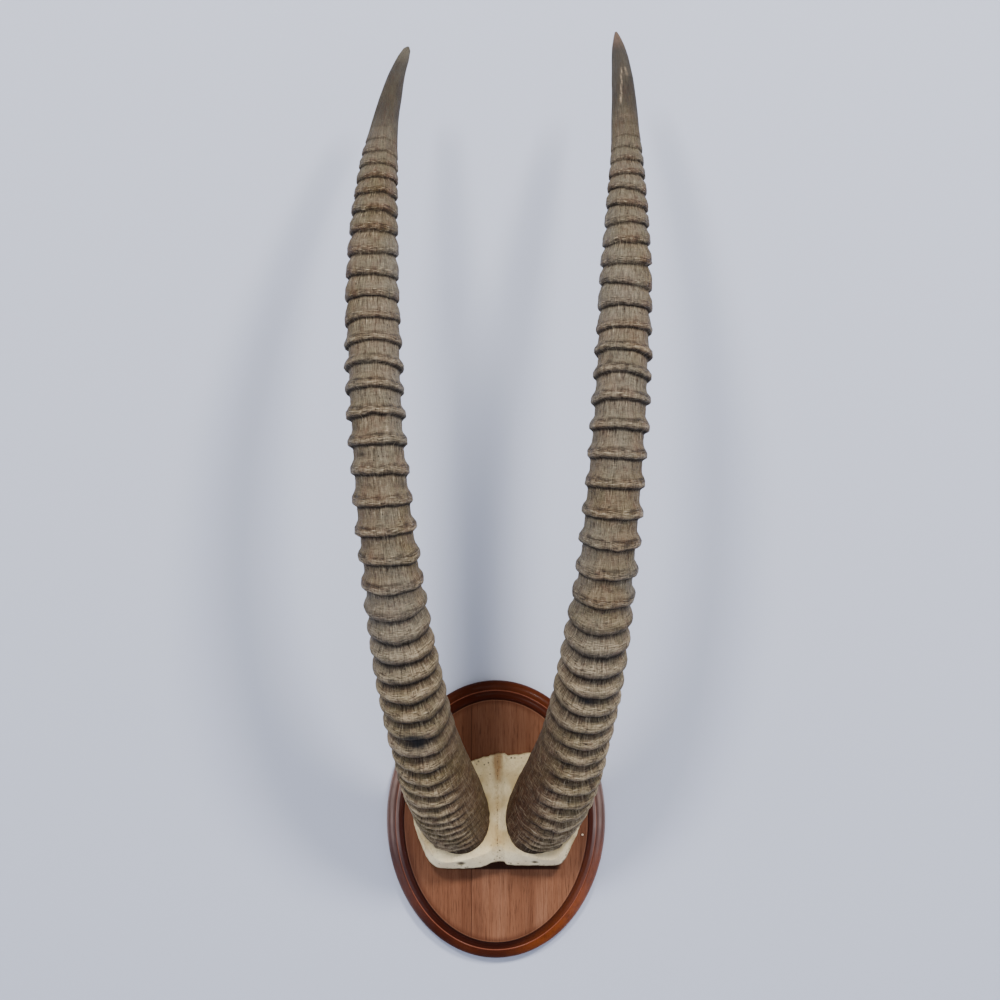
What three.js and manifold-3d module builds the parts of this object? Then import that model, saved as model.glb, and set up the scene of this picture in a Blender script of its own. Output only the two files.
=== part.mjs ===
// Sable antelope horns on their skull plate, fixed to a moulded oval wall plaque.
// Millimetres, +Z up the wall. The origin is the centre of the plaque's back face.
// -Y is out into the room. "depth" below is the distance out from the wall, so y = -depth.
import * as THREE from 'three';
import Module from 'manifold-3d';
import { mergeVertices } from 'three/addons/utils/BufferGeometryUtils.js';

const wasm = await Module();
wasm.setup();

const GAP = 0.35; // clearance between pieces that touch

// Plaque: an oval board whose border is a round bead, a narrow quirk and a cove up to the flat face
const PLAQUE_HALF_WIDTH = 110;
const PLAQUE_HALF_HEIGHT = 139.5;
const PLAQUE_THICKNESS = 20;
const EDGE_HEIGHT = 5; // square edge at the wall
const BEAD_WIDTH = 9;
const BEAD_TOP = 12;
const QUIRK_WIDTH = 1;
const COVE_RADIUS = 8;
const COVE_SWEEP = 1.2; // radians of the cove that are cut
const PLAQUE_SIDES = 48;

// Skull plate: sawn edge, seen from the front as (x, z)
const PLATE_OUTLINE = [
  [4, 68], [-11, 64], [-26, 60], [-46, 58], [-66, 47], [-78, 27], [-82.5, 5], [-79.5, -9], [-74.5, -22],
  [-67.5, -36], [-60, -42.8], [-50, -44.8], [-26, -44.6], [-12, -42.6], [-5, -39.3], [1, -38], [8, -38.2],
  [13, -41.2], [38, -41.8], [60, -41.6], [68, -36], [75, -23.5], [81, -11.5], [85, 5], [82, 32], [69, 52],
  [49, 65], [32, 68], [14, 66],
];
const PLATE_CENTRE = [2, 12];
const PLATE_EDGE_HEIGHT = 8; // of the sawn edge over the plaque's face, at the crown and the sides
const PLATE_BROW_EXTRA = 10; // how much higher the edge is along the brow, at the bottom
const BROW_EDGE_Z = [-12, -38]; // the edge starts to rise at the first height and is full at the second
const PLATE_SLOPE_SIDE = 4; // run from the sawn edge up to full height, beside the horns
const PLATE_SLOPE_END = 17; // the same run at the brow and at the crown
const PLATE_SIDES = 52;
const PLATE_STEPS = [1, 0.985, 0.955, 0.9, 0.82, 0.7, 0.5, 0.25];

// Seat: the surface on which both horn bases stand. It slopes back up the skull and falls away at
// its sides.
const SEAT_DEPTH = 42.5;
const SEAT_HEIGHT_Z = 15;
const SEAT_SLOPE = -0.163;
const SEAT_X = 43;
const SEAT_CROWN = 2.5; // fall of the seat one horn radius outwards of SEAT_X
const SEAT_CROWN_RUN = 35;
const CUTTER_WIDTH = 300; // block that takes away all of a horn below the seat
const CUTTER_HEIGHT = 260;
const CUTTER_BACK = 60; // behind the wall
const CUTTER_COLUMNS = 24;

// Horns: the axis starts at the seat. Pitch is its tilt from upright towards the room, and lean is its
// tilt outwards. Girth lists [distance from the seat, side-to-side half-width].
const SEAT_AXIS_DEPTH = 40;
const SEAT_AXIS_Z = 11;
const PITCH_BASE = 52;
const PITCH_TIP = -48;
const PITCH_BOW = 6;
const ROOT_LENGTH = 62; // straight stretch below the seat, which the seat cuts off
const LEFT_HORN = {
  side: -1,
  x: -41.4,
  length: 860,
  lean: [14.6, 6.8, 0.3, -13.3], // at the base, thirds and tip
  girth: [[-70, 33], [0, 34.8], [30, 36.2], [70, 34.8], [120, 31.6], [190, 29.6], [255, 28], [325, 26.2],
    [400, 24.9], [510, 24.8], [565, 23.6], [612, 21.9], [660, 19.2], [710, 16], [731, 13.8], [753, 12.1],
    [779, 10.4], [807, 8.4], [838, 6], [853, 3.9], [860, 1.2]],
  firstNotch: -11,
  pitches: [[0, 8], [36, 10], [61, 13.5], [93, 17.5], [130, 20.5], [173, 20.5], [233, 22], [302, 25],
    [380, 27.8], [434, 24.5], [480, 20.8], [605, 21], [644, 17.8], [692, 13.3], [721, 15]],
};
const RIGHT_HORN = {
  side: 1,
  x: 45,
  length: 875,
  lean: [17.4, 5.9, 1.9, -4],
  girth: [[-70, 33], [0, 34.8], [30, 36.2], [70, 35.2], [120, 32], [190, 29.8], [255, 28.2], [325, 26.4],
    [400, 25.3], [510, 24.4], [560, 22.9], [601, 21.6], [647, 18.5], [697, 15], [735, 13.2], [751, 12.6],
    [776, 11.5], [803, 10.1], [832, 7.9], [850, 5.9], [866, 3.3], [875, 1.3]],
  firstNotch: -11,
  pitches: [[0, 8.6], [20, 13], [49, 20], [127, 19], [204, 21], [249, 24.5], [350, 27.5], [404, 25.8],
    [454, 24], [498, 20.5], [561, 21], [622, 18], [674, 15], [726, 12.5]],
};
const FLATTENING = [[0, 1.1], [0.5, 1.1], [1, 1]]; // fore-and-aft half-width over side-to-side
// Tilt of the rings' front towards the base, in degrees, by distance from the seat
const RING_SLANT = [[0, 0], [270, 0], [340, -9], [440, -11], [505, -15], [545, -6], [600, 8], [900, 10]];
const RING_END = 730; // the last notch, above which the horn is smooth
// Ring relief by distance from the seat: [notch, crest, back of the crest] as offsets from the girth
const RELIEF = [[0, [-1.6, 1, 0.9]], [120, [-2.6, 2, 1.9]], [240, [-2.6, 2.3, 1.8]], [320, [-2, 2.5, -1.2]],
  [480, [-1.9, 2.5, -1.5]], [560, [-1.4, 1.8, 1.4]], [700, [-0.9, 1.1, 0.9]], [740, [-0.5, 0.4, 0.2]]];
const RING_STEPS = [0, 0.26, 0.6]; // notch, crest and back of the crest within one ring
const HORN_SIDES = 14;
const AXIS_STEPS = 430;
const TIP_STEPS = [0.87, 0.895, 0.92, 0.945, 0.965, 0.985, 0.996];

// Screws: head radius, shank radius, length, depth of the sunk head below the back face
const SKULL_SCREW = { head: 4.6, shank: 2.2, length: 33, sink: 1.2, taper: 2.6 };
const SKULL_SCREW_PLACES = {
  skull_screw_left: [-24, 8],
  skull_screw_right: [30, 8],
  skull_screw_top: [4, 48],
};
const NAIL = { head: 2.4, shank: 0.9, length: 12, taper: 0.7 };
const SCREW_SIDES = 10;
const HOLE_OVERRUN = 2; // how far a hole's cutter stands out of the back

// Sawtooth hanger: a bent steel strip that lies in a recess in the plaque's back
const HANGER_Z = 96;
const HANGER_LENGTH = 62;
const HANGER_HEIGHT = 13;
const HANGER_METAL = 1;
const HANGER_FOOT = 10; // length of each flat end
const HANGER_LIFT = 1.9; // how far the middle stands off the feet
const RECESS_DEPTH = 3.4;
const RECESS_MARGIN = 1;
const TOOTH_PITCH = 5;
const TOOTH_HALF_WIDTH = 2;
const TOOTH_DEPTH = 2.5;
const TOOTH_COUNT = 7;

// Straight-line reading of a list of [place, value] pairs
function along(pairs, place) {
  const last = pairs[pairs.length - 1];
  if (place <= pairs[0][0]) return pairs[0][1];
  if (place >= last[0]) return last[1];
  const i = pairs.findIndex((pair) => pair[0] > place);
  const [[from, low], [to, high]] = [pairs[i - 1], pairs[i]];
  const t = (place - from) / (to - from);
  if (Array.isArray(low)) return low.map((value, k) => value + t * (high[k] - value));
  return low + t * (high - low);
}

function smooth(t) {
  const c = Math.min(Math.max(t, 0), 1);
  return c * c * (3 - 2 * c);
}

// Cubic through four values at 0, 1/3, 2/3 and 1
function thirds([a, b, c, d], u) {
  const v = 1 - u;
  return a * (1 - 3 * u) * (1 - 1.5 * u) * v + 9 * b * u * (1 - 1.5 * u) * v
    + 4.5 * c * u * (3 * u - 1) * v + d * u * (3 * u - 1) * (1.5 * u - 1);
}

// Closed skin through rings of points, with a middle point at each end
function loft(rings, startPoint, endPoint) {
  const sides = rings[0].length;
  const points = [startPoint, ...rings.flat(), endPoint];
  const index = [];
  const end = points.length - 1;
  for (let k = 0; k < sides; k++) {
    const next = (k + 1) % sides;
    index.push(0, 1 + next, 1 + k);
    for (let r = 0; r + 1 < rings.length; r++) {
      const a = 1 + r * sides;
      const b = a + sides;
      index.push(a + k, a + next, b + next, a + k, b + next, b + k);
    }
    index.push(end, end - sides + k, end - sides + next);
  }
  const geometry = new THREE.BufferGeometry();
  geometry.setAttribute('position', new THREE.Float32BufferAttribute(points.flatMap((p) => p.toArray()), 3));
  geometry.setIndex(index);
  return volumeOf(geometry) < 0 ? turnedOut(geometry) : geometry;
}

function volumeOf(geometry) {
  const position = geometry.getAttribute('position');
  const corners = [new THREE.Vector3(), new THREE.Vector3(), new THREE.Vector3()];
  let volume = 0;
  for (let i = 0; i < geometry.index.count; i += 3) {
    corners.forEach((corner, k) => corner.fromBufferAttribute(position, geometry.index.getX(i + k)));
    volume += corners[0].dot(corners[1].cross(corners[2])) / 6;
  }
  return volume;
}

function turnedOut(geometry) {
  const index = geometry.index;
  for (let i = 0; i < index.count; i += 3) {
    const first = index.getX(i);
    index.setX(i, index.getX(i + 1));
    index.setX(i + 1, first);
  }
  return geometry;
}

function solidFrom(geometry) {
  const bare = geometry.clone();
  bare.deleteAttribute('normal');
  bare.deleteAttribute('uv');
  const merged = mergeVertices(bare, 1e-4);
  return new wasm.Manifold(new wasm.Mesh({
    numProp: 3,
    vertProperties: new Float32Array(merged.getAttribute('position').array),
    triVerts: new Uint32Array(merged.index.array),
  }));
}

function geometryFrom(solid) {
  const mesh = solid.getMesh();
  const geometry = new THREE.BufferGeometry();
  geometry.setAttribute('position', new THREE.BufferAttribute(new Float32Array(mesh.vertProperties), 3));
  geometry.setIndex(new THREE.BufferAttribute(new Uint32Array(mesh.triVerts), 1));
  geometry.computeVertexNormals();
  return geometry;
}

// Point of the plaque's oval, moved inwards by a constant width
function ovalPoint(angle, inset, depth) {
  const x = Math.cos(angle);
  const z = Math.sin(angle);
  const normal = new THREE.Vector2(PLAQUE_HALF_HEIGHT * x, PLAQUE_HALF_WIDTH * z).normalize();
  return new THREE.Vector3(
    PLAQUE_HALF_WIDTH * x - inset * normal.x,
    -depth,
    PLAQUE_HALF_HEIGHT * z - inset * normal.y,
  );
}

// Section of the plaque's border as [inset, depth], from the wall to the face
function mouldingProfile() {
  const profile = [[0, 0]];
  const steps = 3;
  for (let i = 0; i <= steps; i++) {
    const t = (i / steps) * Math.PI / 2;
    profile.push([
      BEAD_WIDTH * (1 - Math.cos(t)),
      EDGE_HEIGHT + (BEAD_TOP - EDGE_HEIGHT) * Math.sin(t),
    ]);
  }
  for (let i = 0; i <= steps; i++) {
    const t = (i / steps) * COVE_SWEEP;
    profile.push([
      BEAD_WIDTH + QUIRK_WIDTH + COVE_RADIUS * Math.sin(t),
      BEAD_TOP + COVE_RADIUS * (1 - Math.cos(t)),
    ]);
  }
  profile.push([BEAD_WIDTH + QUIRK_WIDTH + COVE_RADIUS, PLAQUE_THICKNESS]);
  return profile;
}

// Solid turned from [radius, y] pairs about an axis that runs straight out of the wall at (x, z)
function turned(profile, x, z) {
  const geometry = new THREE.LatheGeometry(profile.map((p) => new THREE.Vector2(...p)), SCREW_SIDES);
  return geometry.translate(x, 0, z);
}

// Countersunk screw or nail, driven from the back
function fastener(size, x, z) {
  const tip = -size.sink - size.length;
  return turned([
    [0, tip],
    [size.shank, tip + size.shank],
    [size.shank, -size.sink - size.taper],
    [size.head, -size.sink],
    [0, -size.sink],
  ], x, z);
}

// The same form with clearance all round, open at the back of the plaque
function fastenerHole(size, x, z) {
  const tip = -size.sink - size.length - GAP;
  return turned([
    [0, tip],
    [size.shank + GAP, tip],
    [size.shank + GAP, -size.sink - size.taper - GAP],
    [size.head + GAP, -size.sink],
    [size.head + GAP, HOLE_OVERRUN],
    [0, HOLE_OVERRUN],
  ], x, z);
}

function nailPlaces() {
  const x = HANGER_LENGTH / 2 - HANGER_FOOT / 2;
  return { hanger_nail_left: [-x, HANGER_Z], hanger_nail_right: [x, HANGER_Z] };
}

// The nail heads lie on the hanger's feet, which lie on the recess floor
function hangerNail(x, z) {
  const sink = RECESS_DEPTH - GAP - HANGER_METAL - GAP - NAIL.taper;
  return fastener({ ...NAIL, sink }, x, z);
}

function plaqueGeometry() {
  const rings = mouldingProfile().map(([inset, depth]) => {
    const ring = [];
    for (let k = 0; k < PLAQUE_SIDES; k++) {
      ring.push(ovalPoint((k / PLAQUE_SIDES) * 2 * Math.PI, inset, depth));
    }
    return ring;
  });
  let solid = solidFrom(loft(rings, new THREE.Vector3(0, 0, 0), new THREE.Vector3(0, -PLAQUE_THICKNESS, 0)));
  for (const [x, z] of Object.values(SKULL_SCREW_PLACES)) {
    solid = solid.subtract(solidFrom(fastenerHole(SKULL_SCREW, x, z)));
  }
  const recess = new THREE.BoxGeometry(
    HANGER_LENGTH + 2 * RECESS_MARGIN,
    2 * RECESS_DEPTH,
    HANGER_HEIGHT + 2 * RECESS_MARGIN,
  );
  solid = solid.subtract(solidFrom(recess.translate(0, 0, HANGER_Z)));
  for (const [x, z] of Object.values(nailPlaces())) {
    solid = solid.subtract(solidFrom(nailHole(x, z)));
  }
  return geometryFrom(solid);
}

function nailHole(x, z) {
  const radius = NAIL.shank + GAP;
  const length = NAIL.length + HOLE_OVERRUN;
  return new THREE.CylinderGeometry(radius, radius, length, SCREW_SIDES).translate(x, -length / 2, z);
}

function seatDepth(x, z) {
  const beyond = Math.max(Math.abs(x) - SEAT_X, 0) / SEAT_CROWN_RUN;
  const fall = SEAT_CROWN * beyond ** 2;
  return SEAT_DEPTH + SEAT_SLOPE * (z - SEAT_HEIGHT_Z) - fall;
}

// Depth of the bone's outer face, a share of the way from the middle of the plate out to its edge
function boneDepth(edge, share) {
  const x = PLATE_CENTRE[0] + share * (edge.x - PLATE_CENTRE[0]);
  const z = PLATE_CENTRE[1] + share * (edge.y - PLATE_CENTRE[1]);
  const reach = Math.hypot(edge.x - PLATE_CENTRE[0], edge.y - PLATE_CENTRE[1]);
  const endwise = ((edge.y - PLATE_CENTRE[1]) / reach) ** 2;
  const run = PLATE_SLOPE_SIDE + (PLATE_SLOPE_END - PLATE_SLOPE_SIDE) * endwise;
  const rise = Math.sin(Math.min((1 - share) * reach / run, 1) * Math.PI / 2);
  const [start, full] = BROW_EDGE_Z;
  const brow = PLATE_BROW_EXTRA * smooth((edge.y - start) / (full - start));
  const rim = PLAQUE_THICKNESS + PLATE_EDGE_HEIGHT + brow;
  return rim + (seatDepth(x, z) - GAP - rim) * rise;
}

function skullPlateGeometry() {
  const outline = new THREE.CatmullRomCurve3(
    PLATE_OUTLINE.map(([x, z]) => new THREE.Vector3(x, z, 0)),
    true,
  ).getSpacedPoints(PLATE_SIDES).slice(0, PLATE_SIDES);
  const back = PLAQUE_THICKNESS + GAP;
  const rings = [outline.map((p) => new THREE.Vector3(p.x, -back, p.y))];
  for (const share of PLATE_STEPS) {
    rings.push(outline.map((p) => new THREE.Vector3(
      PLATE_CENTRE[0] + share * (p.x - PLATE_CENTRE[0]),
      -boneDepth(p, share),
      PLATE_CENTRE[1] + share * (p.y - PLATE_CENTRE[1]),
    )));
  }
  const [x, z] = PLATE_CENTRE;
  const middle = new THREE.Vector3(x, GAP - seatDepth(x, z), z);
  let solid = solidFrom(loft(rings, new THREE.Vector3(x, -back, z), middle));
  for (const [screwX, screwZ] of Object.values(SKULL_SCREW_PLACES)) {
    solid = solid.subtract(solidFrom(fastenerHole(SKULL_SCREW, screwX, screwZ)));
  }
  return geometryFrom(solid);
}

// Centre line of a horn: places, directions and the direction of its front, every few millimetres
function hornAxis(horn) {
  const step = horn.length / AXIS_STEPS;
  const stations = [];
  const place = new THREE.Vector3(horn.x, -SEAT_AXIS_DEPTH, SEAT_AXIS_Z);
  for (let i = 0; i <= AXIS_STEPS; i++) {
    const u = i / AXIS_STEPS;
    const hump = 4 * u * (1 - u);
    const pitch = THREE.MathUtils.degToRad(PITCH_BASE + (PITCH_TIP - PITCH_BASE) * u + PITCH_BOW * hump);
    const lean = THREE.MathUtils.degToRad(thirds(horn.lean, u));
    const direction = new THREE.Vector3(
      horn.side * Math.sin(lean),
      -Math.cos(lean) * Math.sin(pitch),
      Math.cos(lean) * Math.cos(pitch),
    );
    const front = new THREE.Vector3(0, -Math.cos(pitch), -Math.sin(pitch));
    const outward = new THREE.Vector3().crossVectors(direction, front);
    if (outward.x * horn.side < 0) outward.negate();
    stations.push({ place: place.clone(), direction, front, outward: outward.normalize() });
    place.addScaledVector(direction, step);
  }
  return (distance) => {
    const at = Math.min(Math.max(distance / step, 0), AXIS_STEPS);
    const low = stations[Math.floor(at)];
    const centre = low.place.clone().addScaledVector(low.direction, distance - Math.floor(at) * step);
    return { ...low, centre };
  };
}

// Distances from the seat at which the rings' notches lie
function notches(horn) {
  const list = [];
  for (let s = horn.firstNotch; s < RING_END; s += along(horn.pitches, s)) list.push(s);
  return list;
}

// Rings are full on the front and outer side and fade towards the inner back, most of all near the base
function ringStrength(angle, distance) {
  const fade = 0.5 - 0.38 * smooth((distance - 100) / 260);
  return 1 - fade + fade * Math.cos(angle - Math.PI / 5);
}

function hornRing(horn, axisAt, distance, relief) {
  const share = distance / horn.length;
  const width = along(horn.girth, distance);
  const slant = Math.tan(THREE.MathUtils.degToRad(along(RING_SLANT, distance)));
  const ring = [];
  for (let k = 0; k < HORN_SIDES; k++) {
    const angle = (k / HORN_SIDES) * 2 * Math.PI;
    const offset = relief * ringStrength(angle, distance);
    const station = axisAt(distance - slant * width * Math.cos(angle));
    ring.push(station.centre.clone()
      .addScaledVector(station.front, (width * along(FLATTENING, share) + offset) * Math.cos(angle))
      .addScaledVector(station.outward, (width + offset) * Math.sin(angle)));
  }
  return ring;
}

// Block that takes away all of a horn below the seat surface
function seatCutter() {
  const block = new THREE.BoxGeometry(CUTTER_WIDTH, 1, CUTTER_HEIGHT, CUTTER_COLUMNS, 1, 1);
  const position = block.getAttribute('position');
  for (let i = 0; i < position.count; i++) {
    const isFront = position.getY(i) < 0;
    position.setY(i, isFront ? -seatDepth(position.getX(i), position.getZ(i)) : CUTTER_BACK);
  }
  return solidFrom(block);
}

function hornGeometry(horn) {
  const axisAt = hornAxis(horn);
  const rings = [hornRing(horn, axisAt, -ROOT_LENGTH, 0), hornRing(horn, axisAt, -ROOT_LENGTH / 2, 0)];
  for (const notch of notches(horn)) {
    const pitch = along(horn.pitches, notch);
    RING_STEPS.forEach((step, i) => {
      rings.push(hornRing(horn, axisAt, notch + step * pitch, along(RELIEF, notch)[i]));
    });
  }
  for (const share of TIP_STEPS) rings.push(hornRing(horn, axisAt, share * horn.length, 0));
  const root = axisAt(-ROOT_LENGTH).centre;
  const tip = axisAt(horn.length).centre;
  return geometryFrom(solidFrom(loft(rings, root, tip)).subtract(seatCutter()));
}

// Strip with flat feet and a raised middle, then its row of teeth cut into the lower edge
function hangerGeometry() {
  const floor = RECESS_DEPTH - GAP;
  const half = HANGER_LENGTH / 2;
  const inner = half - HANGER_FOOT;
  const raised = floor - HANGER_LIFT;
  const bend = HANGER_LIFT;
  const near = [[-half, floor], [-inner, floor], [-inner + bend, raised], [inner - bend, raised],
    [inner, floor], [half, floor]];
  const far = near.map(([x, depth]) => [x, depth - HANGER_METAL]).reverse();
  const shape = new THREE.Shape([...near, ...far].map(([x, depth]) => new THREE.Vector2(x, -depth)));
  const strip = new THREE.ExtrudeGeometry(shape, { depth: HANGER_HEIGHT, bevelEnabled: false });
  strip.translate(0, 0, HANGER_Z - HANGER_HEIGHT / 2);
  let solid = solidFrom(strip);
  for (let i = 0; i < TOOTH_COUNT; i++) {
    const x = (i - (TOOTH_COUNT - 1) / 2) * TOOTH_PITCH;
    const bottom = HANGER_Z - HANGER_HEIGHT / 2;
    const tooth = new THREE.Shape([
      new THREE.Vector2(x - TOOTH_HALF_WIDTH, bottom - 1),
      new THREE.Vector2(x + TOOTH_HALF_WIDTH, bottom - 1),
      new THREE.Vector2(x, bottom + TOOTH_DEPTH),
    ]);
    const prism = new THREE.ExtrudeGeometry(tooth, { depth: 2 * RECESS_DEPTH, bevelEnabled: false });
    solid = solid.subtract(solidFrom(prism.rotateX(Math.PI / 2).translate(0, RECESS_DEPTH, 0)));
  }
  for (const [x, z] of Object.values(nailPlaces())) {
    solid = solid.subtract(solidFrom(nailHole(x, z)));
  }
  return geometryFrom(solid);
}

const WALNUT = new THREE.MeshStandardMaterial({ color: 0x8e634f, roughness: 0.35, metalness: 0 });
const BONE = new THREE.MeshStandardMaterial({ color: 0xad9c7f, roughness: 0.6, metalness: 0 });
const HORN = new THREE.MeshStandardMaterial({ color: 0x807467, roughness: 0.55, metalness: 0 });
const STEEL = new THREE.MeshStandardMaterial({ color: 0x9a9a98, roughness: 0.4, metalness: 1 });

const mount = new THREE.Group();

function addPiece(name, geometry, material) {
  const piece = new THREE.Mesh(geometry, material.clone());
  piece.name = name;
  mount.add(piece);
}

addPiece('plaque', plaqueGeometry(), WALNUT);
addPiece('skull_plate', skullPlateGeometry(), BONE);
addPiece('left_horn', hornGeometry(LEFT_HORN), HORN);
addPiece('right_horn', hornGeometry(RIGHT_HORN), HORN);
for (const [name, [x, z]] of Object.entries(SKULL_SCREW_PLACES)) {
  addPiece(name, fastener(SKULL_SCREW, x, z), STEEL);
}
addPiece('sawtooth_hanger', hangerGeometry(), STEEL);
for (const [name, [x, z]] of Object.entries(nailPlaces())) {
  addPiece(name, hangerNail(x, z), STEEL);
}

export default mount;
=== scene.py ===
import math
import bmesh
import bpy
import numpy as np
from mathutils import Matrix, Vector, noise


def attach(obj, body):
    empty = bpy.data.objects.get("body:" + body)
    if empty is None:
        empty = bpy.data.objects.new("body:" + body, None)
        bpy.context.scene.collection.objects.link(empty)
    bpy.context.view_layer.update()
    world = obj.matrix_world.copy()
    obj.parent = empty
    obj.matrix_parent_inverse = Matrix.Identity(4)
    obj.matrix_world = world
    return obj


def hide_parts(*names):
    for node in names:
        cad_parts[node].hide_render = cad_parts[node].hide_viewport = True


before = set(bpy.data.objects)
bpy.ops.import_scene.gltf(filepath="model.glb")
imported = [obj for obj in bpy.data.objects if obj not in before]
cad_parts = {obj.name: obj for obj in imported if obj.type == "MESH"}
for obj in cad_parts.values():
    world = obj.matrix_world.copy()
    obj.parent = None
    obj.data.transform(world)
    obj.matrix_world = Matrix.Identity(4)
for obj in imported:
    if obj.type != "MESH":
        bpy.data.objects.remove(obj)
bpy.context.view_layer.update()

# Sizes in the dictionaries are millimetres, as the real thing is measured; meshes are metres.
# "depth" is the distance out from the wall, so y = -depth.
mm = 0.001


# small helpers

def smoothStep(low, high, value):
    t = np.clip((np.asarray(value, float) - low) / (high - low), 0, 1)
    return t * t * (3 - 2 * t)


def lookUp(pairs, place):
    return np.interp(place, [p[0] for p in pairs], [p[1] for p in pairs])


def thirdsCurve(values, u):  # cubic through four values at 0, 1/3, 2/3 and 1
    a, b, c, d = values
    v = 1 - u
    return (a * (1 - 3 * u) * (1 - 1.5 * u) * v + 9 * b * u * (1 - 1.5 * u) * v
            + 4.5 * c * u * (3 * u - 1) * v + d * u * (3 * u - 1) * (1.5 * u - 1))


def noiseAt(x, y, z, octaves=1):
    total = np.zeros(len(x))
    for k in range(octaves):
        scale = 2.0 ** k
        total += np.array([noise.noise((a * scale, b * scale, c * scale + 7.3 * k))
                           for a, b, c in zip(x, y, z)]) / scale
    return total


def linear(red, green, blue):  # colour as the eye names it, 0 to 255, to the renderer's linear values
    def channel(value):
        value /= 255
        return value / 12.92 if value <= 0.04045 else ((value + 0.055) / 1.055) ** 2.4
    return (channel(red), channel(green), channel(blue), 1)


def unitTube(sides, rows):  # tube of radius 1 from z = 0 to 1, closed at both ends, to be moved into shape
    tube = bmesh.new()
    bmesh.ops.create_cone(tube, cap_ends=True, cap_tris=False, segments=sides, radius1=1, radius2=1, depth=1)
    bmesh.ops.translate(tube, verts=tube.verts, vec=(0, 0, 0.5))
    rails = [edge for edge in tube.edges if abs(edge.verts[0].co.z - edge.verts[1].co.z) > 0.5]
    bmesh.ops.subdivide_edges(tube, edges=rails, cuts=rows - 1, use_grid_fill=True)
    tube.verts.ensure_lookup_table()
    return tube


def tubePlaces(tube):
    places = np.array([vert.co[:] for vert in tube.verts])
    return np.arctan2(places[:, 1], places[:, 0]), places[:, 2]


def moveTo(tube, x, depth, z):
    for vert, px, pd, pz in zip(tube.verts, x, depth, z):
        vert.co = (px * mm, -pd * mm, pz * mm)


def closePole(tube, height):  # the ring of points at one end becomes one point
    ring = [vert for vert, place in zip(tube.verts, height) if place > 1 - 1e-6]
    middle = sum((vert.co for vert in ring), Vector()) / len(ring)
    bmesh.ops.pointmerge(tube, verts=ring, merge_co=middle)


def takeMesh(name, shape):
    mesh = bpy.data.meshes.new(name)
    shape.to_mesh(mesh)
    shape.free()
    return mesh


def addObject(name, data):
    thing = bpy.data.objects.new(name, data)
    bpy.context.scene.collection.objects.link(thing)
    return thing


def makePiece(name, tube, material, nodeNames):
    bmesh.ops.recalc_face_normals(tube, faces=tube.faces)
    mesh = takeMesh(name, tube)
    mesh.shade_smooth()
    mesh.materials.append(material)
    piece = addObject(name, mesh)
    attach(piece, "root")
    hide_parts(*nodeNames)
    print(name, len(mesh.vertices), "points")
    return piece


def addMarks(tube, name, values):  # one value or vector for each point, which the material reads by name
    if values.ndim == 1:
        layer = tube.verts.layers.float.new(name)
        for vert, value in zip(tube.verts, values):
            vert[layer] = float(value)
    else:
        layer = tube.verts.layers.float_vector.new(name)
        for vert, value in zip(tube.verts, values):
            vert[layer] = Vector(value)


# camera and light

cameraSet = {"x": 4, "height": 321, "distance": 2500, "lens": 89.28}


def addCamera():
    data = bpy.data.cameras.new("camera")
    data.lens = cameraSet["lens"]
    camera = addObject("camera", data)
    camera.location = (cameraSet["x"] * mm, -cameraSet["distance"] * mm, cameraSet["height"] * mm)
    camera.rotation_euler = (math.pi / 2, 0, 0)
    bpy.context.scene.camera = camera


lightSet = {
    "aim": (0, -120, 300),
    "away": 3200,
    "lamps": [  # name, how far it stands sideways and up for each step out from the wall, power, size
        ("keyRight", 0.5, 0.78, 98, 620),
        ("keyLeft", -0.34, 0.66, 75, 620),
        ("sideRight", 2.2, 0.1, 12, 1500),
        ("sideLeft", -2.2, 0.1, 12, 1500),
    ],
    "lampColour": (1, 0.985, 0.97),
    "sky": 0.38,
    "skyColour": (0.86, 0.92, 1, 1),
}


def addLights():
    aim = Vector(lightSet["aim"]) * mm
    for name, sideways, up, power, size in lightSet["lamps"]:
        data = bpy.data.lights.new(name, "AREA")
        data.shape = "DISK"
        data.size = size * mm
        data.energy = power
        data.color = lightSet["lampColour"]
        lamp = addObject(name, data)
        toLamp = Vector((sideways, -1, up)).normalized()
        lamp.location = aim + toLamp * lightSet["away"] * mm
        lamp.rotation_euler = toLamp.to_track_quat("Z", "Y").to_euler()
    world = bpy.data.worlds.new("sky")
    world.use_nodes = True
    sky = world.node_tree.nodes["Background"]
    sky.inputs["Color"].default_value = lightSet["skyColour"]
    sky.inputs["Strength"].default_value = lightSet["sky"]
    bpy.context.scene.world = world


stageSet = {
    "plaster": (192, 197, 213),
    "wallGap": 0.6,
    "wallReach": 4000, "wallSides": 96,
    "wallOpening": (107.5, 137),  # half sizes of the opening that the plaque covers
    "floorHeight": -420,
    "floorHalf": 3000,
}


def plasterMaterial():
    plaster = bpy.data.materials.new("palePlaster")
    plaster.use_nodes = True
    tree = plaster.node_tree
    surface = tree.nodes["Principled BSDF"]
    surface.inputs["Base Color"].default_value = linear(*stageSet["plaster"])
    surface.inputs["Roughness"].default_value = 0.9
    # the wall is clear from behind, so that the back of the plaque can be seen
    clear = tree.nodes.new("ShaderNodeBsdfTransparent")
    side = tree.nodes.new("ShaderNodeNewGeometry")
    pick = tree.nodes.new("ShaderNodeMixShader")
    tree.links.new(side.outputs["Backfacing"], pick.inputs["Fac"])
    tree.links.new(surface.outputs["BSDF"], pick.inputs[1])
    tree.links.new(clear.outputs["BSDF"], pick.inputs[2])
    tree.links.new(pick.outputs["Shader"], tree.nodes["Material Output"].inputs["Surface"])
    return plaster


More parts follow.
